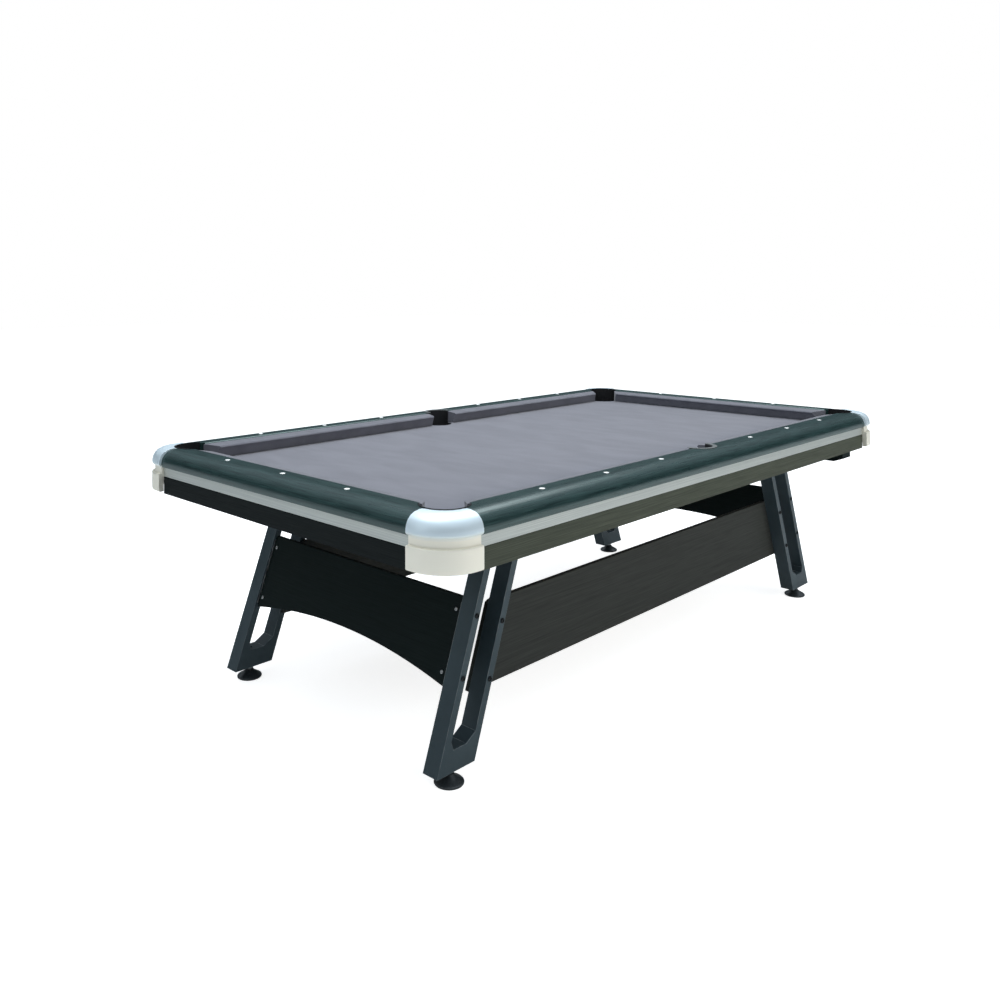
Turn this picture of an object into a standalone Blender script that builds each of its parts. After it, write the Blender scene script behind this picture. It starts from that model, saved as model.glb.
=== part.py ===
"""Pool table with a slate bed, four splayed loop legs, screw feet and a ball
return.  Metres, +Z up.  X runs along the long sides (the return end is +X),
Y across the table, and the floor under the feet is Z = 0."""
import math

import bmesh
import bpy
from mathutils import Vector

# ---- overall sizes -------------------------------------------------------
LENGTH = 2.740
WIDTH = 1.520
HEIGHT = 0.810
GAP = 0.0003

# ---- heights, floor to rail top -----------------------------------------
RAIL_TOP = HEIGHT - 0.002
BED_Z = HEIGHT - 0.056
CLOTH_T = 0.0010
SLATE_T = 0.0250
STRIP_TOP = HEIGHT - 0.0595
STRIP_H = 0.032
APRON_BOTTOM = HEIGHT - 0.1505
CAP_BOTTOM = HEIGHT - 0.1430
BEAM_H = 0.0345
LEG_BOTTOM = 0.042

# ---- insets measured inwards from the outer rectangle --------------------
BULGE_IN = 0.009
ROLL_IN = 0.060
ROLL_DROP = 0.045
STRIP_IN = 0.019
STRIP_T = 0.008
APRON_T = 0.020
LEDGE_IN = 0.060
SLATE_IN = 0.050
RAIL_STEP_IN = 0.042
RAIL_EASE = 0.0035
RAIL_FOOT_IN = 0.012
FEATHER_IN = 0.107
NOSE_IN = 0.157
CUSHION_LIFT = 0.0008
CUSHION_DROP = 0.004
TUCK = 0.006
NOSE_EASE = 0.004
NOSE_UNDERCUT = 0.016
NOSE_SHOULDER = 0.0100
NOSE_TOP = 0.0135
NOSE_FOOT = 0.0165
NOSE_LIP = 0.0200

# ---- pockets -------------------------------------------------------------
CORNER_IN = 0.137
CORNER_R = 0.0680
SIDE_IN = 0.118
SIDE_R = 0.0560
LINER_T = 0.0030
DROP_R = 0.0340
LINER_GAP = 0.0005
LINER_EDGE = 0.0002
CORNER_LIP = 0.0025
SIDE_LIP = 0.0120
FUNNEL_DROP = 0.018
FUNNEL_STEP = 0.008
JAW_SET = 0.074
JAW_ANGLE = 50.0
SIDE_MOUTH = 0.068
SIDE_THROAT = 0.058

# ---- corner caps ---------------------------------------------------------
CAP_R = 0.120
CAP_BLOCK = 0.022
CAP_FLAT_IN = 0.058
CAP_SINK_IN = 0.066
CAP_SINK = 0.0020
SEAM_OUT = 0.138
SEAM_REACH = 0.30

# ---- legs, panels, stretchers --------------------------------------------
LEG_FOOT_X = 1.163
LEG_LEAN = 0.367
LEG_SPAN = 0.148
LEG_BAR = 0.026
LEG_Y_IN = 0.465
LEG_DEPTH = 0.056
LEG_WEB_TOP = 0.102
LEG_TOP_BAR = 0.030
LEG_WEB_RISE = 0.022
LEG_WEB_OUT = 0.016
LEG_WEB_IN = 0.030
BORE_OVER = 0.020
PANEL_T = 0.012
PANEL_IN = 0.008
PANEL_BOTTOM = 0.248
PANEL_TOP = 0.477
PANEL_ARCH = 0.043
STRETCH_BOTTOM = 0.202
STRETCH_TOP = 0.441
STRETCH_T = 0.018
STRETCH_LAP = 0.020
STRETCH_CLIP_H = 0.006
STRETCH_CLIP_L = 0.012
BRACKET = 0.032
BRACKET_T = 0.004
BRACKET_END = 0.012
BRACKET_REACH = 0.004

# ---- cabinet frame and ball return ---------------------------------------
LONG_BEAM_W = 0.070
LONG_BEAM_H = 0.034
JOINT_X = 0.425
JOINT_BEAM_W = 0.080
GULLY_Y = 0.634
GULLY_END_IN = 0.062
GULLY_W = 0.102
GULLY_H = 0.030
GULLY_WALL = 0.003
GULLY_SLOPE = 0.0105
GULLY_LAP = 0.010
TROUGH_X0 = 1.215
TROUGH_X1 = 1.300
TROUGH_BOTTOM = 0.588
TROUGH_WALL = 0.005
TROUGH_HALF = 0.622
TROUGH_FLARE = 0.040
TROUGH_CHAMFER = 0.015
TROUGH_LOW = 0.045
TROUGH_LIP = 0.028
TROUGH_OPEN = 0.020

# ---- screw feet ----------------------------------------------------------
PAD_R = 0.0425
PAD_H = 0.028
STEM_R = 0.0080
STEM_GAP = 0.0004
NUT_AF = 0.024
NUT_H = 0.009
PAD_SOCKET = 0.010
STEM_SHORT = 0.018
STEM_EASE = 0.0015

CAP_WALL = STRIP_IN
HALF_L = LENGTH / 2
HALF_W = WIDTH / 2
SLATE_TOP = BED_Z - CLOTH_T
SLATE_BOTTOM = SLATE_TOP - SLATE_T
BEAM_TOP = SLATE_BOTTOM - GAP
BEAM_BOTTOM = BEAM_TOP - BEAM_H
LONG_TOP = BEAM_BOTTOM - GAP
LONG_BOTTOM = LONG_TOP - LONG_BEAM_H
LEG_TOP = LONG_BOTTOM - GAP
LEG_MID_Y = LEG_Y_IN + LEG_DEPTH / 2
SEAT_Z = BED_Z + GAP


def material(name, colour, roughness, metallic):
    mat = bpy.data.materials.new(name)
    mat.use_nodes = True
    shader = mat.node_tree.nodes["Principled BSDF"]
    shader.inputs["Base Color"].default_value = (*colour, 1.0)
    shader.inputs["Roughness"].default_value = roughness
    shader.inputs["Metallic"].default_value = metallic
    mat.diffuse_color = (*colour, 1.0)
    return mat


def solid_from(name, verts, faces, mat):
    mesh = bpy.data.meshes.new(name)
    mesh.from_pydata(verts, [], faces)
    bm = bmesh.new()
    bm.from_mesh(mesh)
    bmesh.ops.recalc_face_normals(bm, faces=bm.faces)
    bm.to_mesh(mesh)
    bm.free()
    obj = bpy.data.objects.new(name, mesh)
    bpy.context.scene.collection.objects.link(obj)
    if mat is not None:
        mesh.materials.append(mat)
    return obj


def prism(name, outline, place, start, end, mat=None):
    """Closed bar: a 2-D outline carried from start to end by place(p, q, t)."""
    count = len(outline)
    verts = [place(p, q, start) for p, q in outline]
    verts += [place(p, q, end) for p, q in outline]
    faces = [tuple(range(count)), tuple(range(2 * count - 1, count - 1, -1))]
    for i in range(count):
        j = (i + 1) % count
        faces.append((i, j, count + j, count + i))
    return solid_from(name, verts, faces, mat)


def upright(name, plan, z0, z1, mat=None):
    return prism(name, plan, lambda p, q, t: (p, q, t), z0, z1, mat)


def box(name, x, y, z, mat=None):
    plan = [(x[0], y[0]), (x[1], y[0]), (x[1], y[1]), (x[0], y[1])]
    return upright(name, plan, z[0], z[1], mat)


def turned(name, profile, centre, segments, mat=None):
    """Solid of revolution about a vertical axis; profile is (radius, z)."""
    verts = []
    rings = []
    for radius, z in profile:
        if radius < 1e-9:
            rings.append([len(verts)])
            verts.append((centre[0], centre[1], z))
            continue
        ring = []
        for k in range(segments):
            angle = 2 * math.pi * k / segments
            ring.append(len(verts))
            verts.append((centre[0] + radius * math.cos(angle),
                          centre[1] + radius * math.sin(angle), z))
        rings.append(ring)
    faces = []
    for low, high in zip(rings, rings[1:] + rings[:1]):
        for k in range(segments):
            n = (k + 1) % segments
            if len(low) == 1 and len(high) == 1:
                break
            if len(low) == 1:
                faces.append((low[0], high[k], high[n]))
            elif len(high) == 1:
                faces.append((low[k], low[n], high[0]))
            else:
                faces.append((low[k], low[n], high[n], high[k]))
    return solid_from(name, verts, faces, mat)


def carve(obj, cutters, operation="DIFFERENCE"):
    for cutter in cutters:
        cutter.hide_render = True
        cutter.display_type = "WIRE"
        mod = obj.modifiers.new("cut", "BOOLEAN")
        mod.operation = operation
        mod.solver = "EXACT"
        mod.object = cutter
        bpy.context.view_layer.update()
        graph = bpy.context.evaluated_depsgraph_get()
        mesh = bpy.data.meshes.new_from_object(obj.evaluated_get(graph))
        obj.modifiers.remove(mod)
        obj.data = mesh
        bpy.data.objects.remove(cutter)
    return obj


def smooth(obj, degrees=35):
    obj.data.shade_smooth()
    obj.data.set_sharp_from_angle(angle=math.radians(degrees))
    return obj


def set_origin(obj, point):
    for vert in obj.data.vertices:
        vert.co -= Vector(point)
    obj.location = point


def corner_plan(points, sx, sy):
    """Points given as insets (from the end, from the side) at one corner."""
    plan = [(sx * (HALF_L - a), sy * (HALF_W - b)) for a, b in points]
    return plan if sx * sy > 0 else plan[::-1]


def seam_cutter(sx, sy, on_long, beyond):
    """Block on one side of the square seam between a rail and a cap."""
    foot = SEAM_OUT + (GAP if beyond < 0 else 0.0)
    ring = [(foot, -0.05), (foot, SEAM_REACH), (foot + beyond * SEAM_REACH, SEAM_REACH),
            (foot + beyond * SEAM_REACH, -0.05)]
    if not on_long:
        ring = [(b, a) for a, b in ring]
    return upright("seam", corner_plan(ring, sx, sy), 0.5, 1.0)


def pocket_cutter(x, y, radius, z0=0.5, z1=1.0, segments=32):
    return turned("bore", [(0, z0), (radius, z0), (radius, z1), (0, z1)], (x, y), segments)


CORNERS = [(-1, -1), (1, -1), (1, 1), (-1, 1)]
CORNER_NAMES = {(-1, -1): "head_right", (1, -1): "foot_right",
                (1, 1): "foot_left", (-1, 1): "head_left"}
ENDS = {-1: "head", 1: "foot"}
SIDES = {-1: "right", 1: "left"}
POCKET_X = HALF_L - CORNER_IN
POCKET_Y = HALF_W - CORNER_IN
SIDE_Y = HALF_W - SIDE_IN


def bed_holes():
    holes = [pocket_cutter(sx * POCKET_X, sy * POCKET_Y, CORNER_R) for sx, sy in CORNERS]
    holes += [pocket_cutter(0.0, sy * SIDE_Y, SIDE_R) for sy in (-1, 1)]
    return holes


def add_bed(stone, cloth):
    """Three slates meeting over two frame beams, under one stretched cloth."""
    edge_x = HALF_L - SLATE_IN
    edge_y = HALF_W - SLATE_IN
    spans = {"slate_head": (-edge_x, -JOINT_X - GAP / 2),
             "slate_centre": (-JOINT_X + GAP / 2, JOINT_X - GAP / 2),
             "slate_foot": (JOINT_X + GAP / 2, edge_x)}
    for name, span in spans.items():
        slate = box(name, span, (-edge_y, edge_y), (SLATE_BOTTOM, SLATE_TOP - GAP), stone)
        inside = []
        for hole in bed_holes():
            xs = [v.co.x for v in hole.data.vertices]
            if min(xs) < span[1] and max(xs) > span[0]:
                inside.append(hole)
            else:
                bpy.data.objects.remove(hole)
        carve(slate, inside)
    sheet = box("bed_cloth", (-edge_x, edge_x), (-edge_y, edge_y), (SLATE_TOP, BED_Z), cloth)
    carve(sheet, bed_holes())


def rail_outline():
    """Rail section as (inset, z): flat top, rolled outer edge, stepped foot."""
    roll = []
    steps = 9
    for k in range(steps):
        angle = math.pi / 2 * k / (steps - 1)
        roll.append((ROLL_IN - (ROLL_IN - BULGE_IN) * math.sin(angle),
                     RAIL_TOP - ROLL_DROP * (1 - math.cos(angle))))
    foot = STRIP_TOP + GAP
    return ([(FEATHER_IN, SEAT_Z), (FEATHER_IN, RAIL_TOP - RAIL_EASE),
             (FEATHER_IN - RAIL_EASE, RAIL_TOP)]
            + roll
            + [(RAIL_FOOT_IN, foot), (RAIL_STEP_IN, foot), (RAIL_STEP_IN, SEAT_Z)])


def along_x(sy):
    return lambda a, z, t: (t, sy * (HALF_W - a), z)


def along_y(sx):
    return lambda a, z, t: (sx * (HALF_L - a), t, z)


def add_rails(wood):
    """One long rail each side, notched at the side pocket, one rail each end."""
    for sy, side in SIDES.items():
        rail = prism("rail_" + side, rail_outline(), along_x(sy), -HALF_L, HALF_L, wood)
        cuts = [pocket_cutter(0.0, sy * SIDE_Y, SIDE_R)]
        for sx in (-1, 1):
            cuts.append(pocket_cutter(sx * POCKET_X, sy * POCKET_Y, CORNER_R))
            cuts.append(seam_cutter(sx, sy, True, -1))
        smooth(carve(rail, cuts))
    for sx, end in ENDS.items():
        rail = prism("rail_" + end, rail_outline(), along_y(sx), -HALF_W, HALF_W, wood)
        cuts = []
        for sy in (-1, 1):
            cuts.append(pocket_cutter(sx * POCKET_X, sy * POCKET_Y, CORNER_R))
            cuts.append(seam_cutter(sx, sy, False, -1))
        smooth(carve(rail, cuts))


def cushion_outline():
    """Cushion section as (inset, z): sloped top, nose, undercut face."""
    back = FEATHER_IN + GAP
    base = SEAT_Z + CUSHION_LIFT
    crown = RAIL_TOP - CUSHION_DROP
    return [(back, base), (back, crown), (back + TUCK, crown),
            (NOSE_IN - NOSE_EASE, RAIL_TOP - NOSE_SHOULDER), (NOSE_IN, RAIL_TOP - NOSE_TOP),
            (NOSE_IN, RAIL_TOP - NOSE_FOOT), (NOSE_IN - NOSE_EASE, RAIL_TOP - NOSE_LIP),
            (NOSE_IN - NOSE_UNDERCUT, base)]


def jaw_cutter(plan):
    return upright("jaw", plan, 0.7, 0.9)


def corner_jaw(sx, sy, on_long):
    """Everything of a cushion on the pocket side of its slanted end face."""
    tip = NOSE_IN + JAW_SET
    slant = 1 / math.tan(math.radians(JAW_ANGLE))
    ring = [(tip + 0.06 * slant, NOSE_IN + 0.06), (tip - 0.12 * slant, NOSE_IN - 0.12),
            (tip - 0.45, NOSE_IN - 0.12), (tip - 0.45, NOSE_IN + 0.06)]
    if not on_long:
        ring = [(b, a) for a, b in ring]
    return jaw_cutter(corner_plan(ring, sx, sy))


def side_jaw(sx, sy):
    lean = (SIDE_MOUTH - SIDE_THROAT) / (NOSE_IN - FEATHER_IN)
    near = HALF_W - NOSE_IN - 0.05
    far = HALF_W - FEATHER_IN + 0.05
    ring = [(-sx * 0.1, sy * near), (sx * (SIDE_MOUTH + 0.05 * lean), sy * near),
            (sx * (SIDE_THROAT - 0.05 * lean), sy * far), (-sx * 0.1, sy * far)]
    return jaw_cutter(ring)


def add_cushions(cloth):
    for sx, end in ENDS.items():
        cushion = prism("cushion_" + end, cushion_outline(), along_y(sx), -HALF_W, HALF_W, cloth)
        carve(cushion, [corner_jaw(sx, sy, False) for sy in (-1, 1)])
        smooth(cushion)
        for sy, side in SIDES.items():
            span = (0.0, sx * HALF_L)
            cushion = prism("cushion_" + side + "_" + end, cushion_outline(), along_x(sy),
                            span[0], span[1], cloth)
            carve(cushion, [corner_jaw(sx, sy, True), side_jaw(sx, sy)])
            smooth(cushion)


def add_strips_and_aprons(metal, board):
    """Bright strip under each rail and the apron board that carries it."""
    strip = [(STRIP_IN, STRIP_TOP - STRIP_H), (STRIP_IN, STRIP_TOP),
             (STRIP_IN + STRIP_T, STRIP_TOP), (STRIP_IN + STRIP_T, STRIP_TOP - STRIP_H)]
    back = STRIP_IN + APRON_T
    shelf = STRIP_TOP - STRIP_H - GAP
    apron = [(STRIP_IN, APRON_BOTTOM), (STRIP_IN, shelf), (STRIP_IN + STRIP_T + GAP, shelf),
             (STRIP_IN + STRIP_T + GAP, STRIP_TOP), (back, STRIP_TOP), (back, BEAM_TOP),
             (LEDGE_IN, BEAM_TOP), (LEDGE_IN, BEAM_BOTTOM), (back, BEAM_BOTTOM),
             (back, APRON_BOTTOM)]
    for kind, outline, mat in (("trim_strip_", strip, metal), ("apron_", apron, board)):
        for sy, side in SIDES.items():
            bar = prism(kind + side, outline, along_x(sy), -HALF_L, HALF_L, mat)
            carve(bar, [seam_cutter(sx, sy, True, -1) for sx in (-1, 1)])
        for sx, end in ENDS.items():
            bar = prism(kind + end, outline, along_y(sx), -HALF_W, HALF_W, mat)
            carve(bar, [seam_cutter(sx, sy, False, -1) for sy in (-1, 1)])


def cap_levels():
    """Outline of the cap from below as (inset, z): band, groove, domed lip."""
    top = HEIGHT
    return [(0.006, CAP_BOTTOM), (0.0015, CAP_BOTTOM + 0.002), (0.0, CAP_BOTTOM + 0.006),
            (0.0, top - 0.0830), (0.0015, top - 0.0812), (0.010, top - 0.0800),
            (0.010, top - 0.0575), (0.0030, top - 0.0540), (0.0, top - 0.0490),
            (0.0005, top - 0.0400), (0.0030, top - 0.0290), (0.0085, top - 0.0185),
            (0.0175, top - 0.0095), (0.0300, top - 0.0035), (0.048, top)]


def cap_ring(inset, block):
    """Corner outline at one inset, closed back at the inner block corner."""
    radius = CAP_R - inset
    steps = 9
    ring = [(block, inset)]
    for k in range(steps + 1):
        angle = math.pi / 2 * k / steps
        ring.append((CAP_R - radius * math.sin(angle), CAP_R - radius * math.cos(angle)))
    ring += [(inset, block), (block, block)]
    return ring


def cap_block(name, levels, block, sx, sy, mat=None):
    rings = [corner_plan(cap_ring(inset, block), sx, sy) for inset, _ in levels]
    count = len(rings[0])
    verts = []
    for ring, (_, z) in zip(rings, levels):
        verts += [(x, y, z) for x, y in ring]
    faces = [tuple(range(count)), tuple(range(len(verts) - 1, len(verts) - count - 1, -1))]
    for level in range(len(levels) - 1):
        base = level * count
        for i in range(count):
            j = (i + 1) % count
            faces.append((base + i, base + j, base + count + j, base + count + i))
    return solid_from(name, verts, faces, mat)


def add_caps(metal):
    """Corner caps: a domed lip over a groove and a deep band, hollow below, with
    the top sunk a little round the pocket."""
    block = CORNER_IN + CAP_BLOCK
    for sx, sy in CORNERS:
        cap = cap_block("corner_cap_" + CORNER_NAMES[(sx, sy)], cap_levels(), block, sx, sy, metal)
        hollow = cap_block("hollow", [(CAP_WALL, CAP_BOTTOM - 0.05), (CAP_WALL, SEAT_Z)],
                           block + 0.05, sx, sy)
        sink = cap_block("sink", [(CAP_SINK_IN, HEIGHT - CAP_SINK),
                                  (2 * CAP_FLAT_IN - CAP_SINK_IN, HEIGHT + CAP_SINK)],
                         block + 0.05, sx, sy)
        cuts = [hollow, sink, pocket_cutter(sx * POCKET_X, sy * POCKET_Y, CORNER_R),
                seam_cutter(sx, sy, True, 1), seam_cutter(sx, sy, False, 1)]
        smooth(carve(cap, cuts), 40)


def add_liner(name, centre, radius, lip, keep, mat):
    """Drop liner: funnel through the bed with a raised wall and a flat lip."""
    outer = radius - LINER_GAP
    seat = HEIGHT - CAP_SINK + GAP
    rim = HEIGHT - LINER_EDGE
    funnel = BED_Z - FUNNEL_DROP
    drop = BEAM_BOTTOM + GAP
    profile = [(DROP_R + LINER_T, drop), (outer, funnel - FUNNEL_STEP), (outer, seat),
               (outer + lip, seat), (outer + lip, rim), (outer - LINER_T, rim),
               (outer - LINER_T, funnel), (DROP_R, drop)]
    liner = turned(name, profile, centre, 32, mat)
    smooth(carve(liner, [keep]))


def add_liners(mat):
    clear = BED_Z - CLOTH_T
    for sx, sy in CORNERS:
        mid = CORNER_IN
        reach = 0.12
        ring = [(mid + reach, mid - reach), (mid - reach, mid + reach),
                (mid + reach, mid + 3 * reach), (mid + 3 * reach, mid + reach)]
        mouth = upright("mouth", corner_plan(ring, sx, sy), clear, 0.9)
        add_liner("pocket_liner_" + CORNER_NAMES[(sx, sy)],
                  (sx * POCKET_X, sy * POCKET_Y), CORNER_R, CORNER_LIP, mouth, mat)
    for sy, side in SIDES.items():
        ys = sorted((sy * SIDE_Y, sy * (SIDE_Y - 0.2)))
        mouth = box("mouth", (-0.1, 0.1), ys, (clear, 0.9))
        add_liner("pocket_liner_" + side, (0.0, sy * SIDE_Y), SIDE_R, SIDE_LIP, mouth, mat)


def add_frame(wood):
    """Two long beams on the legs and two cross beams under the slate joints."""
    long_x = HALF_L - STRIP_IN - APRON_T - GAP
    cross_y = HALF_W - LEDGE_IN - GAP
    for sy, side in SIDES.items():
        ys = sorted((sy * (LEG_MID_Y - LONG_BEAM_W / 2), sy * (LEG_MID_Y + LONG_BEAM_W / 2)))
        box("frame_beam_" + side, (-long_x, long_x), ys, (LONG_BOTTOM, LONG_TOP), wood)
    for sx, end in ENDS.items():
        xs = (sx * JOINT_X - JOINT_BEAM_W / 2, sx * JOINT_X + JOINT_BEAM_W / 2)
        box("cross_beam_" + end, xs, (-cross_y, cross_y), (BEAM_BOTTOM, BEAM_TOP), wood)


def add_return(plastic, board):
    """Sloping gullies under the pockets, running into the collecting trough."""
    x0 = -HALF_L + GULLY_END_IN
    x1 = TROUGH_X0 + GULLY_LAP
    for sy, side in SIDES.items():
        def channel(name, inner, lift, start, rise, mat=None):
            ya = GULLY_Y - GULLY_W / 2 + inner
            yb = GULLY_Y + GULLY_W / 2 - inner
            verts = []
            for x in (start, x1 + lift):
                z = BEAM_BOTTOM - GAP - GULLY_H - GULLY_SLOPE * (x - x0) + inner
                verts += [(x, sy * ya, z), (x, sy * yb, z),
                          (x, sy * yb, z + rise), (x, sy * ya, z + rise)]
            faces = [(0, 1, 2, 3), (7, 6, 5, 4), (0, 4, 5, 1), (1, 5, 6, 2), (2, 6, 7, 3), (3, 7, 4, 0)]
            return solid_from(name, verts, faces, mat)

        gully = channel("gully_" + side, 0.0, 0.0, x0, GULLY_H, plastic)
        carve(gully, [channel("run", GULLY_WALL, 0.05, x0 + GULLY_WALL, GULLY_H + 0.05)])

    rise = BEAM_BOTTOM - GAP

    def section(wall, top):
        half = TROUGH_HALF - wall
        wide = TROUGH_HALF + TROUGH_FLARE - wall
        base = TROUGH_BOTTOM + wall
        knee = TROUGH_BOTTOM + TROUGH_CHAMFER + wall
        return [(-half, base), (half, base), (wide, knee), (wide, top), (-wide, top), (-wide, knee)]

    def across(p, q, t):
        return (t, p, q)

    w = TROUGH_WALL
    trough = prism("ball_trough", section(0.0, rise), across, TROUGH_X0, TROUGH_X1, board)
    low = box("low", (TROUGH_X0 - TROUGH_OPEN, TROUGH_X0 + TROUGH_OPEN), (-WIDTH, WIDTH),
              (TROUGH_BOTTOM + TROUGH_LOW, HEIGHT))
    lip = box("lip", (TROUGH_X1 - TROUGH_OPEN, TROUGH_X1 + TROUGH_OPEN), (w - TROUGH_HALF, TROUGH_HALF - w),
              (TROUGH_BOTTOM + TROUGH_LIP, HEIGHT))
    hollow = prism("hollow", section(w, HEIGHT), across, TROUGH_X0 + w, TROUGH_X1 - w)
    carve(trough, [hollow, low, lip])


def leg_x(offset, z):
    """Distance from the middle of the table to a line down the leg."""
    return LEG_FOOT_X - offset - LEG_LEAN * (z - LEG_BOTTOM)


def add_legs(metal):
    """Loop legs: two leaning bars joined by a deep web and a top bar."""
    outline = [(leg_x(LEG_SPAN, LEG_BOTTOM), LEG_BOTTOM), (leg_x(0, LEG_BOTTOM), LEG_BOTTOM),
               (leg_x(0, LEG_TOP), LEG_TOP), (leg_x(LEG_SPAN, LEG_TOP), LEG_TOP)]
    low = LEG_WEB_TOP
    high = LEG_TOP - LEG_TOP_BAR
    knee = low + LEG_WEB_RISE
    inner = LEG_SPAN - LEG_BAR
    opening = [(leg_x(LEG_BAR + LEG_WEB_OUT, low), low), (leg_x(LEG_BAR, knee), knee),
               (leg_x(LEG_BAR, high), high), (leg_x(inner, high), high),
               (leg_x(inner, knee), knee), (leg_x(inner - LEG_WEB_IN, low), low)]
    for sx, sy in CORNERS:
        ys = sorted((sy * LEG_Y_IN, sy * (LEG_Y_IN + LEG_DEPTH)))

        def stand(p, q, t, side=sx):
            return (side * p, t, q)

        leg = prism("leg_" + CORNER_NAMES[(sx, sy)], outline, stand, ys[0], ys[1], metal)
        window = prism("window", opening, stand, ys[0] - 0.01, ys[1] + 0.01)
        hole = STEM_R + STEM_GAP
        bore = turned("bore", [(0, 0.0), (hole, 0.0), (hole, low + BORE_OVER), (0, low + BORE_OVER)],
                      (sx * foot_x(), sy * LEG_MID_Y), 24)
        carve(leg, [window, bore])


def foot_x():
    return leg_x(LEG_SPAN / 2, LEG_BOTTOM)


def add_end_panels(board, metal):
    """Arched panels leaning with the legs.  An angle screwed to the inner face
    of each outer leg bar turns in behind the panel and carries it."""
    leg_face = LEG_Y_IN - GAP
    half = leg_face - BRACKET_T - GAP
    steps = 18
    lower = []
    for k in range(steps):
        y = half * (2 * k / steps - 1)
        lower.append((y, PANEL_BOTTOM + PANEL_ARCH * (1 - (y / half) ** 2)))
    outline = lower + [(half, PANEL_BOTTOM), (half, PANEL_TOP), (-half, PANEL_TOP)]
    behind = PANEL_IN + PANEL_T + GAP
    reach = PANEL_T + BRACKET_REACH
    angle = [(-reach, 0.0), (BRACKET_T, 0.0), (BRACKET_T, BRACKET),
             (0.0, BRACKET), (0.0, BRACKET_T), (-reach, BRACKET_T)]
    for sx, end in ENDS.items():
        def lean(p, q, t, side=sx):
            return (side * (leg_x(PANEL_IN, q) - t), p, q)

        prism("end_panel_" + end, outline, lean, 0.0, PANEL_T, board)
        for sy, side in SIDES.items():
            def stand(p, q, t, side_x=sx, side_y=sy):
                return (side_x * (leg_x(behind, t) - p), side_y * (leg_face - q), t)

            prism("panel_bracket_" + end + "_" + side, angle, stand,
                  PANEL_BOTTOM + BRACKET_END, PANEL_TOP - BRACKET_END, metal)


def add_stretchers(board):
    """Long boards lapping the inner leg bars, their ends cut to the lean."""
    over = LEG_SPAN - STRETCH_LAP
    clip = STRETCH_TOP - STRETCH_CLIP_H
    ends = [(leg_x(over, STRETCH_BOTTOM), STRETCH_BOTTOM), (leg_x(over, clip), clip),
            (leg_x(over + STRETCH_CLIP_L, STRETCH_TOP), STRETCH_TOP)]
    outline = ends + [(-x, z) for x, z in reversed(ends)]
    for sy, side in SIDES.items():
        def stand(p, q, t, side_y=sy):
            return (p, side_y * (LEG_Y_IN - GAP - t), q)

        prism("stretcher_" + side, outline, stand, 0.0, STRETCH_T, board)


def add_feet(steel, rubber):
    """Screw foot under each leg: a stem with a hexagon collar, and its pad."""
    collar_top = LEG_BOTTOM - GAP
    tip = LEG_WEB_TOP - STEM_SHORT
    hole = STEM_R + STEM_GAP
    nut_r = NUT_AF / math.sqrt(3)
    for sx, sy in CORNERS:
        name = CORNER_NAMES[(sx, sy)]
        x = sx * foot_x()
        y = sy * LEG_MID_Y
        stem = turned("foot_stem_" + name,
                      [(0, PAD_SOCKET + GAP), (STEM_R, PAD_SOCKET + GAP), (STEM_R, tip - STEM_EASE),
                       (STEM_R - STEM_EASE, tip), (0, tip)], (x, y), 16, steel)
        collar = turned("collar", [(0, collar_top - NUT_H), (nut_r, collar_top - NUT_H),
                                   (nut_r, collar_top), (0, collar_top)], (x, y), 6)
        carve(stem, [collar], "UNION")
        set_origin(smooth(stem), (x, y, collar_top))
        pad = turned("foot_pad_" + name,
                     [(0, 0.0), (PAD_R - 0.002, 0.0), (PAD_R, 0.0025), (PAD_R, 0.0060),
                      (PAD_R - 0.003, 0.0090), (0.028, 0.0150), (0.018, 0.0215), (0.0145, PAD_H - 0.002),
                      (0.0130, PAD_H), (hole, PAD_H), (hole, PAD_SOCKET), (0, PAD_SOCKET)],
                     (x, y), 32, rubber)
        set_origin(smooth(pad), (x, y, 0.0))


def main():
    for old in list(bpy.data.objects):
        bpy.data.objects.remove(old)
    slate = material("slate_stone", (0.16, 0.17, 0.18), 0.75, 0.0)
    cloth = material("bed_cloth_wool", (0.30, 0.30, 0.34), 0.95, 0.0)
    cushion = material("cushion_cloth_wool", (0.29, 0.29, 0.33), 0.95, 0.0)
    rail = material("rail_black_grain", (0.030, 0.040, 0.042), 0.35, 0.0)
    apron = material("apron_black_grain", (0.045, 0.047, 0.042), 0.50, 0.0)
    silver = material("satin_silver", (0.62, 0.64, 0.62), 0.35, 1.0)
    cap = material("cap_silver", (0.80, 0.83, 0.84), 0.25, 1.0)
    liner = material("liner_black", (0.010, 0.010, 0.011), 0.55, 0.0)
    leg = material("leg_slate_paint", (0.045, 0.058, 0.068), 0.42, 0.3)
    panel = material("panel_black", (0.012, 0.016, 0.017), 0.55, 0.0)
    stretcher = material("stretcher_dark_grain", (0.040, 0.040, 0.038), 0.55, 0.0)
    timber = material("frame_timber", (0.42, 0.28, 0.16), 0.70, 0.0)
    gully = material("gully_black", (0.018, 0.018, 0.019), 0.50, 0.0)
    bracket = material("bracket_steel", (0.35, 0.36, 0.37), 0.40, 1.0)
    steel = material("stem_steel", (0.45, 0.46, 0.47), 0.35, 1.0)
    rubber = material("pad_black", (0.014, 0.015, 0.016), 0.60, 0.0)

    add_bed(slate, cloth)
    add_rails(rail)
    add_cushions(cushion)
    add_strips_and_aprons(silver, apron)
    add_caps(cap)
    add_liners(liner)
    add_frame(timber)
    add_return(gully, panel)
    add_legs(leg)
    add_end_panels(panel, bracket)
    add_stretchers(stretcher)
    add_feet(steel, rubber)


main()
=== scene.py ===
import math

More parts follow.
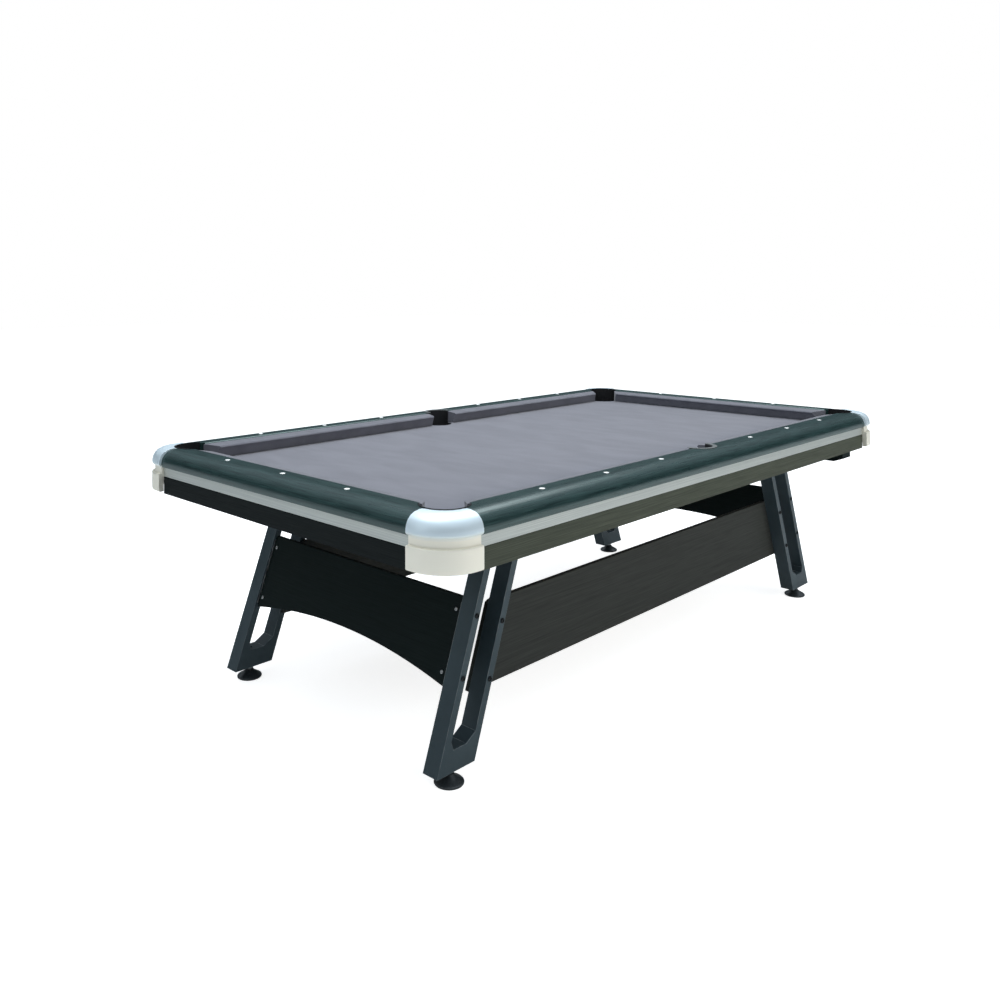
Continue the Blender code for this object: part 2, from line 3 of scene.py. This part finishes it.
import bpy
from mathutils import Matrix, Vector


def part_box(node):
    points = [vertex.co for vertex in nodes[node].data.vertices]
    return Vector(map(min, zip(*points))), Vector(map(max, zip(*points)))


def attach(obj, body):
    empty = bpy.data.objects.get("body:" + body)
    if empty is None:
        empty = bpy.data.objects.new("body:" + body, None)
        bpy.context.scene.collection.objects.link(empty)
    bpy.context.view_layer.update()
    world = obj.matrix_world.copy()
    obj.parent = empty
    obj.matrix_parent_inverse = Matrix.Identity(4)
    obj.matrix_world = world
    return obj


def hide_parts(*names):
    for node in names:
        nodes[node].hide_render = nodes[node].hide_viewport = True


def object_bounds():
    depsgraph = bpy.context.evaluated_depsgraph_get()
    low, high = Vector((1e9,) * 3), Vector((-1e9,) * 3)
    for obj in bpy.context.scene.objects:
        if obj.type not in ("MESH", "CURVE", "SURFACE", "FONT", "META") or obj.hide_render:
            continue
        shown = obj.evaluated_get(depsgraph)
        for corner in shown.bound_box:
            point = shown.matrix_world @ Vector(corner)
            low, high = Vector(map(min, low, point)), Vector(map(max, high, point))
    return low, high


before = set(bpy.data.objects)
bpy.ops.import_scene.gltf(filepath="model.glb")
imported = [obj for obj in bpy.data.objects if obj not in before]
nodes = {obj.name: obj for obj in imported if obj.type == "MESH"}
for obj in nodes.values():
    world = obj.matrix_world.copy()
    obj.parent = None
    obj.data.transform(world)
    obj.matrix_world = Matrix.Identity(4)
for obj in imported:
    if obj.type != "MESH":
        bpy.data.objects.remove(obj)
cad_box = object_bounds()
CORNERS = {"head_right": (-1, -1), "foot_right": (1, -1), "foot_left": (1, 1), "head_left": (-1, 1)}


# The room. The table stands on a pale floor in a plain white surround, lit by a
# long soft box overhead and one beside the near long rail, with a weak one at
# the head end. The camera is at chest height off one corner, looking across it.
bpy.context.scene.view_settings.view_transform = "Standard"

CAMERA_PLACE = (-2.908, -2.296, 1.360)
CAMERA_HEADING = 45.14
CAMERA_RISE = 1.53
CAMERA_ROLL = -0.17
bpy.ops.object.select_all(action="DESELECT")
bpy.ops.object.camera_add(location=CAMERA_PLACE)
camera = bpy.context.object
camera.name = "room_camera"
turn = Matrix.Rotation(math.radians(CAMERA_HEADING - 90), 3, "Z")
tilt = Matrix.Rotation(math.radians(90 + CAMERA_RISE), 3, "X")
roll = Matrix.Rotation(math.radians(CAMERA_ROLL), 3, "Z")
camera.rotation_euler = (turn @ tilt @ roll).to_euler()
camera.data.sensor_width = 36.0
camera.data.lens = 32.99
camera.data.shift_x = 0.0589
camera.data.shift_y = -0.2358
camera.data.clip_end = 200.0
bpy.context.scene.camera = camera

FLOOR_SPAN = 60
FLOOR_LIFT = 0.80
bpy.ops.mesh.primitive_plane_add(size=FLOOR_SPAN, location=(0, 0, 0))
floor = bpy.context.object
floor.name = "room_floor"
floor_paint = bpy.data.materials.new("pale floor paint")
floor_paint.use_nodes = True
floor_shader = floor_paint.node_tree.nodes["Principled BSDF"]
floor_shader.inputs["Base Color"].default_value = (0.86, 0.86, 0.85, 1)
floor_shader.inputs["Roughness"].default_value = 0.9
floor_shader.inputs["Specular IOR Level"].default_value = 0.1
floor_shader.inputs["Emission Color"].default_value = (1, 1, 1, 1)
# Seen by the camera the floor glows a little, so it fades into the surround.
floor_nodes = floor_paint.node_tree
floor_sight = floor_nodes.nodes.new("ShaderNodeLightPath")
floor_lift = floor_nodes.nodes.new("ShaderNodeMath")
floor_lift.operation = "MULTIPLY"
floor_lift.inputs[1].default_value = FLOOR_LIFT
floor_nodes.links.new(floor_sight.outputs["Is Camera Ray"], floor_lift.inputs[0])
floor_nodes.links.new(floor_lift.outputs[0], floor_shader.inputs["Emission Strength"])
floor.data.materials.append(floor_paint)

# The camera sees plain white; everything else is lit by a sky that is dark low
# down and pale overhead.
SKY_LOW, SKY_HIGH = 0.28, 0.80
SKY_STRENGTH = 0.95
room = bpy.data.worlds.new("room light")
bpy.context.scene.world = room
room.use_nodes = True
room_nodes = room.node_tree.nodes
seen = room_nodes.new("ShaderNodeBackground")
seen.inputs["Color"].default_value = (1, 1, 1, 1)
seen.inputs["Strength"].default_value = 1.0
fill = room_nodes["Background"]
heading = room_nodes.new("ShaderNodeTexCoord")
split = room_nodes.new("ShaderNodeSeparateXYZ")
dome = room_nodes.new("ShaderNodeValToRGB")
dome.color_ramp.elements[0].position = SKY_LOW
dome.color_ramp.elements[0].color = (0.045, 0.060, 0.068, 1)
dome.color_ramp.elements[1].position = SKY_HIGH
dome.color_ramp.elements[1].color = (0.80, 0.89, 0.98, 1)
room.node_tree.links.new(heading.outputs["Generated"], split.inputs[0])
room.node_tree.links.new(split.outputs["Z"], dome.inputs["Fac"])
room.node_tree.links.new(dome.outputs["Color"], fill.inputs["Color"])
fill.inputs["Strength"].default_value = SKY_STRENGTH
path = room_nodes.new("ShaderNodeLightPath")
either = room_nodes.new("ShaderNodeMixShader")
room.node_tree.links.new(path.outputs["Is Camera Ray"], either.inputs[0])
room.node_tree.links.new(fill.outputs[0], either.inputs[1])
room.node_tree.links.new(seen.outputs[0], either.inputs[2])
room.node_tree.links.new(either.outputs[0], room_nodes["World Output"].inputs["Surface"])


def soft_box(name, place, target, size, power, colour):
    """A rectangular soft light aimed from its place at a target."""
    bpy.ops.object.light_add(type="AREA", location=place)
    lamp = bpy.context.object
    lamp.name = name
    lamp.data.shape = "RECTANGLE"
    lamp.data.size, lamp.data.size_y = size
    lamp.data.energy = power
    lamp.data.color = colour
    aim = Matrix.Translation(target).translation - lamp.location
    lamp.rotation_euler = aim.to_track_quat("-Z", "Y").to_euler()
    return lamp


soft_box("top_box", (0.0, 0.2, 3.6), (0, 0, 0.8), (4.6, 1.5), 104, (0.92, 0.97, 1.0))
side_box = soft_box("side_box", (1.4, -5.2, 2.2), (0, -0.6, 0.6), (4.5, 1.4), 105,
                    (1.0, 0.98, 0.94))
side_box.visible_glossy = False
soft_box("end_box", (-5.8, 0.6, 2.4), (-1, 0, 0.7), (2.4, 1.4), 18, (0.94, 0.98, 1.0))


# The legs. Each is a loop of two leaning bars, a top bar and a deep foot web,
# of sheet steel folded and welded, then sprayed a dark slate colour. The eased
# edges are painted a lighter, patchy slate: a painted highlight where the folds
# catch the light.
MERGE_REACH = 0.00003
FLAT_ANGLE = 0.6
SHADE_PAST = 6


def finish(name, colour, roughness, metallic=0.0):
    """A new material and its shader, before any pattern is laid on it."""
    made = bpy.data.materials.new(name)
    made.use_nodes = True
    shader = made.node_tree.nodes["Principled BSDF"]
    shader.inputs["Base Color"].default_value = (*colour, 1)
    shader.inputs["Roughness"].default_value = roughness
    shader.inputs["Metallic"].default_value = metallic
    return made, shader


def figure(made, stretch, detail=4.0, distortion=0.0):
    """Noise in the piece's own coordinates, with so many cells to the metre each way."""
    tree = made.node_tree
    place = tree.nodes.new("ShaderNodeTexCoord")
    scale = tree.nodes.new("ShaderNodeMapping")
    scale.inputs["Scale"].default_value = stretch
    noise = tree.nodes.new("ShaderNodeTexNoise")
    noise.inputs["Scale"].default_value = 1.0
    noise.inputs["Detail"].default_value = detail
    noise.inputs["Distortion"].default_value = distortion
    tree.links.new(place.outputs["Object"], scale.inputs["Vector"])
    tree.links.new(scale.outputs["Vector"], noise.inputs["Vector"])
    return noise.outputs["Fac"]


def tint(made, pattern, low, high, start=0.35, end=0.65):
    """Base colour from low to high as the pattern rises from start to end."""
    ramp = made.node_tree.nodes.new("ShaderNodeValToRGB")
    ramp.color_ramp.elements[0].position = start
    ramp.color_ramp.elements[0].color = (*low, 1)
    ramp.color_ramp.elements[1].position = end
    ramp.color_ramp.elements[1].color = (*high, 1)
    made.node_tree.links.new(pattern, ramp.inputs["Fac"])
    shader = made.node_tree.nodes["Principled BSDF"]
    made.node_tree.links.new(ramp.outputs["Color"], shader.inputs["Base Color"])


def gloss(made, pattern, low, high):
    """Roughness from low to high with the pattern."""
    spread = made.node_tree.nodes.new("ShaderNodeMapRange")
    spread.inputs["From Min"].default_value = 0.3
    spread.inputs["From Max"].default_value = 0.7
    spread.inputs["To Min"].default_value = low
    spread.inputs["To Max"].default_value = high
    made.node_tree.links.new(pattern, spread.inputs["Value"])
    shader = made.node_tree.nodes["Principled BSDF"]
    made.node_tree.links.new(spread.outputs["Result"], shader.inputs["Roughness"])


def relief(made, pattern, strength, depth):
    """Raised and sunk surface, so deep in metres, from the pattern."""
    bump = made.node_tree.nodes.new("ShaderNodeBump")
    bump.inputs["Strength"].default_value = strength
    bump.inputs["Distance"].default_value = depth
    made.node_tree.links.new(pattern, bump.inputs["Height"])
    shader = made.node_tree.nodes["Principled BSDF"]
    made.node_tree.links.new(bump.outputs["Normal"], shader.inputs["Normal"])


def dress(node, made, ease, steps=2, body="table", corner=30, highlight_paint=None):
    """A copy of one framed piece with eased corners, shown in that piece's place.

    Corners sharper than the corner angle are rounded by the ease, in so many
    steps, and the rounding takes the highlight paint if one is given: a lighter
    material that paints a highlight on the eased edges.
    """
    piece = bpy.data.objects.new(node + "_finished", nodes[node].data.copy())
    bpy.context.scene.collection.objects.link(piece)
    bpy.ops.object.select_all(action="DESELECT")
    piece.select_set(True)
    bpy.context.view_layer.objects.active = piece
    piece.data.materials.clear()
    piece.data.materials.append(made)
    if highlight_paint:
        piece.data.materials.append(highlight_paint)
    bpy.ops.mesh.customdata_custom_splitnormals_clear()
    bpy.ops.object.mode_set(mode="EDIT")
    bpy.ops.mesh.select_all(action="SELECT")
    bpy.ops.mesh.remove_doubles(threshold=MERGE_REACH)
    bpy.ops.mesh.dissolve_limited(angle_limit=math.radians(FLAT_ANGLE))
    bpy.ops.object.mode_set(mode="OBJECT")
    bpy.ops.object.modifier_add(type="BEVEL")
    bevel = piece.modifiers[-1]
    bevel.width = ease
    bevel.segments = steps
    bevel.limit_method = "ANGLE"
    bevel.angle_limit = math.radians(corner)
    if highlight_paint:
        bevel.material = 1
    bpy.ops.object.modifier_apply(modifier=bevel.name)
    bpy.ops.object.shade_smooth_by_angle(angle=math.radians(corner + SHADE_PAST))
    bpy.ops.object.modifier_add(type="WEIGHTED_NORMAL")
    piece.modifiers[-1].keep_sharp = True
    bpy.ops.object.modifier_apply(modifier=piece.modifiers[-1].name)
    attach(piece, body)
    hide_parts(node)
    return piece


leg_paint, leg_shader = finish("slate spray paint", (0.040, 0.055, 0.064), 0.45)
leg_shader.inputs["Specular IOR Level"].default_value = 0.35
tint(leg_paint, figure(leg_paint, (6, 6, 3)), (0.038, 0.058, 0.068), (0.054, 0.078, 0.090))
spray = figure(leg_paint, (700, 700, 700), 2.0)
gloss(leg_paint, spray, 0.38, 0.52)
relief(leg_paint, spray, 0.25, 0.0003)
# The eased edges take a lighter slate in patches, a painted highlight along the folds.
leg_edge_highlight = finish("slate paint, painted edge highlight", (0.10, 0.12, 0.13), 0.42)[0]
edge_patches = figure(leg_edge_highlight, (60, 60, 25), 5.0)
tint(leg_edge_highlight, edge_patches, (0.070, 0.090, 0.102), (0.190, 0.215, 0.225), 0.38, 0.62)
relief(leg_edge_highlight, figure(leg_edge_highlight, (700, 700, 700), 2.0), 0.25, 0.0003)
for corner in CORNERS:
    dress("leg_" + corner, leg_paint, 0.0024, 3, highlight_paint=leg_edge_highlight)


# The leg screws. Black button-head screws with a socket hold the stretcher
# through each leg: two in its outer bar and two in its inner bar.
SCREW_R = 0.0075
SCREW_H = 0.0042
HEAD_ROUND = 0.6
SOCKET_RIM = 0.22
SOCKET_DEPTH = 0.45
HEAD_SINK = 0.0004
screw_black = finish("blackened screw steel", (0.020, 0.021, 0.023), 0.38, 0.7)[0]
screw_wear = figure(screw_black, (900, 900, 900), 3.0)
tint(screw_black, screw_wear, (0.014, 0.015, 0.017), (0.034, 0.035, 0.037))
gloss(screw_black, screw_wear, 0.30, 0.48)


def socket_screw(name, radius, height, made):
    """A button-head screw facing up at the origin, with a round socket sunk in it."""
    bpy.ops.object.select_all(action="DESELECT")
    bpy.ops.mesh.primitive_cylinder_add(vertices=24, radius=radius, depth=height,
                                        location=(0, 0, height / 2))
    screw = bpy.context.object
    screw.name = name
    bpy.ops.object.transform_apply(location=True)
    bpy.ops.object.mode_set(mode="EDIT")
    bpy.ops.mesh.select_all(action="DESELECT")
    bpy.ops.object.mode_set(mode="OBJECT")
    for face in screw.data.polygons:
        face.select = face.normal.z > 0.9
    bpy.ops.object.mode_set(mode="EDIT")
    bpy.ops.mesh.bevel(offset=height * HEAD_ROUND, segments=4, affect="EDGES")
    bpy.ops.mesh.select_all(action="DESELECT")
    bpy.ops.object.mode_set(mode="OBJECT")
    for face in screw.data.polygons:
        face.select = face.normal.z > 0.98
    bpy.ops.object.mode_set(mode="EDIT")
    bpy.ops.mesh.inset(thickness=radius * SOCKET_RIM)
    sink = (0, 0, -height * SOCKET_DEPTH)
    bpy.ops.mesh.extrude_region_move(TRANSFORM_OT_translate={"value": sink})
    bpy.ops.object.mode_set(mode="OBJECT")
    bpy.ops.object.shade_smooth_by_angle(angle=math.radians(40))
    screw.data.materials.append(made)
    return screw


def set_at(pattern, name, place, body="table"):
    """A copy of a finished pattern piece with its place put into its mesh."""
    piece = bpy.data.objects.new(name, pattern.data.copy())
    bpy.context.scene.collection.objects.link(piece)
    piece.data.transform(place)
    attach(piece, body)
    return piece


leg_low, leg_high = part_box("leg_foot_left")
LEG_BOTTOM = leg_low.z
LEG_FACE_Y = leg_high.y
LEG_FOOT_X = leg_high.x
LEG_LEAN = 0.367
BAR_MID = 0.013
INNER_BAR_MID = 0.135
screw = socket_screw("leg_screw", SCREW_R, SCREW_H, screw_black)
LEG_SCREWS = (("outer_top", BAR_MID, 0.440), ("outer_low", BAR_MID, 0.283),
              ("inner_top", INNER_BAR_MID, 0.400), ("inner_low", INNER_BAR_MID, 0.250))
for corner, (sx, sy) in CORNERS.items():
    for bar, inset, height in LEG_SCREWS:
        x = LEG_FOOT_X - inset - LEG_LEAN * (height - LEG_BOTTOM)
        stand = Matrix.Translation((sx * x, sy * (LEG_FACE_Y - HEAD_SINK), height))
        face = Matrix.Rotation(math.radians(-90 * sy), 4, "X")
        set_at(screw, "leg_screw_" + bar + "_" + corner, stand @ face)
bpy.data.objects.remove(screw)


# The screw feet. A zinc-plated stem with a hexagon collar turns into each leg,
# and stands in a moulded black plastic foot with a stepped skirt.
zinc = finish("zinc plated steel", (0.50, 0.51, 0.52), 0.32, 1.0)[0]
zinc_marks = figure(zinc, (260, 260, 900), 3.0)
tint(zinc, zinc_marks, (0.42, 0.43, 0.45), (0.60, 0.60, 0.58))
gloss(zinc, zinc_marks, 0.24, 0.42)
foot_plastic, foot_shader = finish("moulded foot plastic", (0.018, 0.021, 0.023), 0.35)
foot_shader.inputs["Specular IOR Level"].default_value = 0.8
foot_grain = figure(foot_plastic, (1500, 1500, 1500), 2.0)
tint(foot_plastic, foot_grain, (0.018, 0.023, 0.026), (0.034, 0.041, 0.045))
gloss(foot_plastic, foot_grain, 0.26, 0.40)
relief(foot_plastic, foot_grain, 0.2, 0.0002)
for corner in CORNERS:
    dress("foot_stem_" + corner, zinc, 0.0006, 2, "stem_" + corner)
    dress("foot_pad_" + corner, foot_plastic, 0.0007, 2, "pad_" + corner)


# The stretchers. Long boards faced with a dark ash-grain foil, their ends cut
# to the lean of the legs and their edges banded in the same foil.
def drawn_out(along, long, short):
    """Cells to the metre on each axis: few along the one named, many across it."""
    return (long if along == "x" else short, long if along == "y" else short, short)


def ash_foil(name, dark, light, along, roughness):
    """Fine open grain drawn out along one axis, with long pores that change the gloss."""
    made, shader = finish(name, light, roughness)
    shader.inputs["Specular IOR Level"].default_value = 0.16
    grain = figure(made, drawn_out(along, 5, 460), 6.0, 0.4)
    tint(made, grain, dark, light, 0.30, 0.70)
    pores = figure(made, drawn_out(along, 12, 900), 3.0)
    gloss(made, pores, roughness - 0.08, roughness + 0.12)
    relief(made, pores, 0.35, 0.0004)
    return made


stretcher_foil = ash_foil("stretcher ash foil", (0.032, 0.034, 0.031),
                          (0.052, 0.054, 0.049), "x", 0.66)
for side in ("left", "right"):
    dress("stretcher_" + side, stretcher_foil, 0.0010)


# The end panels. Arched boards in matt black foil lean with the legs; each is
# held to a steel angle inside either leg by two bright button-head bolts.
panel_foil = ash_foil("matt black panel foil", (0.0028, 0.0075, 0.0070),
                      (0.0055, 0.0125, 0.0118), "y", 0.66)
for end in ("head", "foot"):
    dress("end_panel_" + end, panel_foil, 0.0010)
angle_steel = finish("rolled angle steel", (0.34, 0.35, 0.36), 0.42, 1.0)[0]
angle_marks = figure(angle_steel, (90, 90, 30), 4.0)
tint(angle_steel, angle_marks, (0.26, 0.27, 0.28), (0.40, 0.41, 0.41))
gloss(angle_steel, angle_marks, 0.32, 0.50)
for end in ("head", "foot"):
    for side in ("left", "right"):
        dress("panel_bracket_" + end + "_" + side, angle_steel, 0.0005)

panel_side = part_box("end_panel_foot")[1].y
PANEL_IN = 0.008
BOLT_R = 0.0056
BOLT_H = 0.0030
BOLT_EDGE = 0.016
PANEL_BOLTS = (("top", 0.442), ("low", 0.281))
bolt = socket_screw("panel_bolt", BOLT_R, BOLT_H, zinc)
for end, sx in (("head", -1), ("foot", 1)):
    for side, sy in (("left", 1), ("right", -1)):
        for level, height in PANEL_BOLTS:
            x = LEG_FOOT_X - PANEL_IN - LEG_LEAN * (height - LEG_BOTTOM) - HEAD_SINK
            y = sy * (panel_side - BOLT_EDGE)
            out = Matrix.Rotation(math.radians(90) * sx - math.atan(LEG_LEAN) * sx, 4, "Y")
            set_at(bolt, "panel_bolt_" + level + "_" + end + "_" + side,
                   Matrix.Translation((sx * x, y, height)) @ out)
bpy.data.objects.remove(bolt)


# The underframe. Two long pine beams lie on the legs and two wide cross beams
# carry the joints between the slates.
def planed_pine(name, along):
    """Pale timber with its rings and its plane marks drawn out along one axis."""
    made = finish(name, (0.42, 0.28, 0.16), 0.68)[0]
    rings = figure(made, drawn_out(along, 1.6, 34), 5.0, 1.2)
    tint(made, rings, (0.34, 0.21, 0.11), (0.52, 0.36, 0.21))
    relief(made, figure(made, drawn_out(along, 9, 420), 3.0), 0.3, 0.0004)
    return made


pine = planed_pine("planed pine", "x")
pine_across = planed_pine("planed pine, across", "y")
for side in ("left", "right"):
    dress("frame_beam_" + side, pine, 0.0020)
for end in ("head", "foot"):
    dress("cross_beam_" + end, pine_across, 0.0020)


# The slates. Three honed slabs, their arrises dressed, meet over the cross
# beams with hardly a gap, and are bored for the six pockets.
stone = finish("honed slate", (0.16, 0.17, 0.18), 0.72)[0]
stone_veins = figure(stone, (5, 8, 40), 7.0, 0.6)
tint(stone, stone_veins, (0.11, 0.12, 0.13), (0.20, 0.21, 0.22))
relief(stone, figure(stone, (240, 240, 240), 5.0), 0.3, 0.0003)
for part in ("head", "centre", "foot"):
    dress("slate_" + part, stone, 0.0012)


# The bed cloth. One sheet of worsted wool, stretched over the slates, stapled
# under the rails and cut out over the six pockets.
def worsted(name):
    """Wool cloth with a soft sheen and next to no shine."""
    made, shader = finish(name, (0.15, 0.15, 0.175), 0.95)
    shader.inputs["Specular IOR Level"].default_value = 0.08
    shader.inputs["Sheen Weight"].default_value = 0.25
    shader.inputs["Sheen Roughness"].default_value = 0.5
    return made


wool = worsted("lavender grey worsted")
nap = figure(wool, (14, 5, 14), 6.0, 0.3)
tint(wool, nap, (0.148, 0.148, 0.173), (0.172, 0.172, 0.200))
weave = figure(wool, (1400, 900, 1400), 2.0)
relief(wool, weave, 0.3, 0.0003)
cloth = dress("bed_cloth", wool, 0.0004, 2)


# The ball return. Vacuum-formed black gullies run under the long rails and
# fall into a black board trough across the foot end.
return_plastic = finish("formed gully plastic", (0.018, 0.018, 0.019), 0.48)[0]
return_grain = figure(return_plastic, (300, 300, 300), 3.0)
tint(return_plastic, return_grain, (0.014, 0.014, 0.015), (0.024, 0.024, 0.025))
gloss(return_plastic, return_grain, 0.40, 0.56)
relief(return_plastic, return_grain, 0.2, 0.0003)
for side in ("left", "right"):
    dress("gully_" + side, return_plastic, 0.0008)
dress("ball_trough", panel_foil, 0.0008)


# The pocket liners. Moulded black rubberised cups line each pocket and drop the
# ball into the gully; those at the sides end in a flat lip, painted light grey as
# a painted highlight on the glossy black rim.
liner_rubber, liner_shader = finish("moulded liner rubber", (0.010, 0.010, 0.011), 0.55)
liner_shader.inputs["Specular IOR Level"].default_value = 0.25
liner_grain = figure(liner_rubber, (800, 800, 800), 2.0)
tint(liner_rubber, liner_grain, (0.007, 0.007, 0.008), (0.014, 0.014, 0.015))
gloss(liner_rubber, liner_grain, 0.48, 0.66)
relief(liner_rubber, liner_grain, 0.3, 0.0003)
for pocket in CORNERS:
    dress("pocket_liner_" + pocket, liner_rubber, 0.0006)


def upward(made):
    """The height of each point in the piece's own coordinates, in metres."""
    place = made.node_tree.nodes.new("ShaderNodeTexCoord")
    split_up = made.node_tree.nodes.new("ShaderNodeSeparateXYZ")
    made.node_tree.links.new(place.outputs["Object"], split_up.inputs[0])
    return split_up.outputs["Z"]


LIP_Z = 0.8078
LIP_BLEND = 0.0008
# Above the rail top the side liners turn light grey: a painted highlight on the black lip.
lip_rubber_highlight = finish("side liner rubber, painted lip highlight", (0.10, 0.11, 0.11), 0.42)[0]
tint(lip_rubber_highlight, upward(lip_rubber_highlight), (0.008, 0.008, 0.009), (0.150, 0.160, 0.158),
     LIP_Z, LIP_Z + LIP_BLEND)
relief(lip_rubber_highlight, figure(lip_rubber_highlight, (800, 800, 800), 2.0), 0.3, 0.0003)
for pocket in ("left", "right"):
    dress("pocket_liner_" + pocket, lip_rubber_highlight, 0.0006)


# The aprons. Boards faced with a black ash-grain foil hang under the rails and
# carry the bright side strips. The foil on the long boards is painted lighter and
# the one on the end boards darker: painted light and painted shade for how the
# lamps fall on the sides and the ends.
# One foil in two copies: lighter on the long boards as painted light, darker on the end boards as
# painted shade.
apron_foil_long_lit = ash_foil("apron ash foil, long, painted light", (0.042, 0.047, 0.034),
                        (0.082, 0.090, 0.066), "x", 0.60)
apron_foil_end_shaded = ash_foil("apron ash foil, end, painted shade", (0.0025, 0.0050, 0.0055),
                        (0.0060, 0.0095, 0.0095), "y", 0.70)
for side in ("left", "right"):
    dress("apron_" + side, apron_foil_long_lit, 0.0010)
for end in ("head", "foot"):
    dress("apron_" + end, apron_foil_end_shaded, 0.0010)


# The side strips. Extruded aluminium, brushed along its length and lacquered.
def brushed(name, along):
    """Aluminium with fine brush lines along one axis."""
    made = finish(name, (0.50, 0.52, 0.51), 0.48, 0.75)[0]
    lines = figure(made, drawn_out(along, 3, 1300), 3.0)
    tint(made, lines, (0.48, 0.50, 0.48), (0.66, 0.68, 0.64))
    gloss(made, lines, 0.42, 0.56)
    return made


strip_metal_x = brushed("brushed strip, long", "x")
strip_metal_y = brushed("brushed strip, end", "y")
for side in ("left", "right"):
    dress("trim_strip_" + side, strip_metal_x, 0.0012, 3)
for end in ("head", "foot"):
    dress("trim_strip_" + end, strip_metal_y, 0.0012, 3)


# The rails. Solid timber turned over in one wide roll, stained green-black over
# an open ash grain and lacquered, so the light runs along it in one band.
def rail_lacquer(name, along):
    """Green-black stain over open grain under satin lacquer."""
    made, shader = finish(name, (0.030, 0.042, 0.046), 0.34)
    shader.inputs["Specular IOR Level"].default_value = 0.75
    shader.inputs["Specular Tint"].default_value = (0.80, 1.0, 0.98, 1)
    grain = figure(made, drawn_out(along, 8, 300), 6.0, 0.5)
    tint(made, grain, (0.003, 0.014, 0.014), (0.022, 0.052, 0.050), 0.36, 0.66)
    pores = figure(made, drawn_out(along, 14, 900), 3.0)
    gloss(made, pores, 0.26, 0.38)
    relief(made, grain, 0.30, 0.0005)
    return made


rail_finish_x = rail_lacquer("rail lacquer, long", "x")
rail_finish_y = rail_lacquer("rail lacquer, end", "y")
for side in ("left", "right"):
    dress("rail_" + side, rail_finish_x, 0.0010, 2, corner=26)
for end in ("head", "foot"):
    dress("rail_" + end, rail_finish_y, 0.0010, 2, corner=26)


# The rail sights. Eighteen round pearl inlays, three between each pair of
# pockets, are flat domes sunk by half into the top of the rails.
SIGHT_R = 0.0085
SIGHT_RISE = 0.0018
SIGHT_STEP = 0.3051
SIGHT_IN = 0.0735
SIGHT_GLOW = 0.35
pearl, pearl_shader = finish("pearl inlay", (0.90, 0.92, 0.92), 0.22)
# The pearl glows a little though it is no lamp: a painted highlight on each sight.
pearl_shader.inputs["Emission Color"].default_value = (1, 1, 1, 1)
pearl_shader.inputs["Emission Strength"].default_value = SIGHT_GLOW
pearl_shader.inputs["Coat Weight"].default_value = 0.6
pearl_shader.inputs["Coat Roughness"].default_value = 0.1
pearl_clouds = figure(pearl, (300, 300, 120), 4.0, 2.0)
tint(pearl, pearl_clouds, (0.74, 0.78, 0.79), (0.93, 0.93, 0.90))
sight_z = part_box("rail_left")[1].z
bpy.ops.object.select_all(action="DESELECT")
bpy.ops.mesh.primitive_uv_sphere_add(segments=28, ring_count=14, radius=SIGHT_R)
sight = bpy.context.object
bpy.ops.transform.resize(value=(1, 1, SIGHT_RISE / SIGHT_R))
bpy.ops.object.transform_apply(scale=True)
bpy.ops.object.shade_smooth()
sight.data.materials.append(pearl)
half_x, half_y = cad_box[1].x, cad_box[1].y
for step in (-3, -2, -1, 1, 2, 3):
    for side, sy in (("left", 1), ("right", -1)):
        at = (step * SIGHT_STEP, sy * (half_y - SIGHT_IN), sight_z)
        set_at(sight, "sight_" + side + "_" + str(step + 3), Matrix.Translation(at))
for step in (-1, 0, 1):
    for end, sx in (("head", -1), ("foot", 1)):
        at = (sx * (half_x - SIGHT_IN), step * SIGHT_STEP, sight_z)
        set_at(sight, "sight_" + end + "_" + str(step + 1), Matrix.Translation(at))
bpy.data.objects.remove(sight)


# The cushions. Gum rubber of one section, wrapped in the bed's own wool, its
# nose a tight round and its cloth tucked under the feather strip of the rail.
cushion_wool_shaded = worsted("cushion worsted, painted shade")
cushion_nap = figure(cushion_wool_shaded, (14, 14, 14), 6.0, 0.3)
# The cushion cloth is a darker copy of the bed wool: painted shade on the cushion faces.
tint(cushion_wool_shaded, cushion_nap, (0.126, 0.127, 0.149), (0.148, 0.149, 0.174))
relief(cushion_wool_shaded, figure(cushion_wool_shaded, (1200, 1200, 1200), 2.0), 0.3, 0.0003)
for cushion in ("head", "foot", "left_head", "left_foot", "right_head", "right_foot"):
    pad = dress("cushion_" + cushion, cushion_wool_shaded, 0.0022, 4, corner=20)


# The corner caps. Die-cast, polished and given a satin coat: a dome over a groove,
# and a deep band below it. The dome is painted a cool blue silver and the band a
# warm creamy silver, a painted reflection of the sky above and the floor below.
CAP_REFLECTION_SPLIT_Z = 0.7525
cap_metal_painted_reflection = finish("satin silver casting, painted reflection", (0.80, 0.83, 0.83), 0.46, 0.50)[0]
# Cream below the split and blue silver above it: a painted reflection of the floor and the sky.
tint(cap_metal_painted_reflection, upward(cap_metal_painted_reflection), (0.96, 0.91, 0.79), (0.76, 0.87, 0.93),
     CAP_REFLECTION_SPLIT_Z - 0.006, CAP_REFLECTION_SPLIT_Z + 0.012)
cap_spray = figure(cap_metal_painted_reflection, (1600, 1600, 1600), 2.0)
gloss(cap_metal_painted_reflection, cap_spray, 0.40, 0.52)
for corner in CORNERS:
    dress("corner_cap_" + corner, cap_metal_painted_reflection, 0.0012, 3, corner=34)
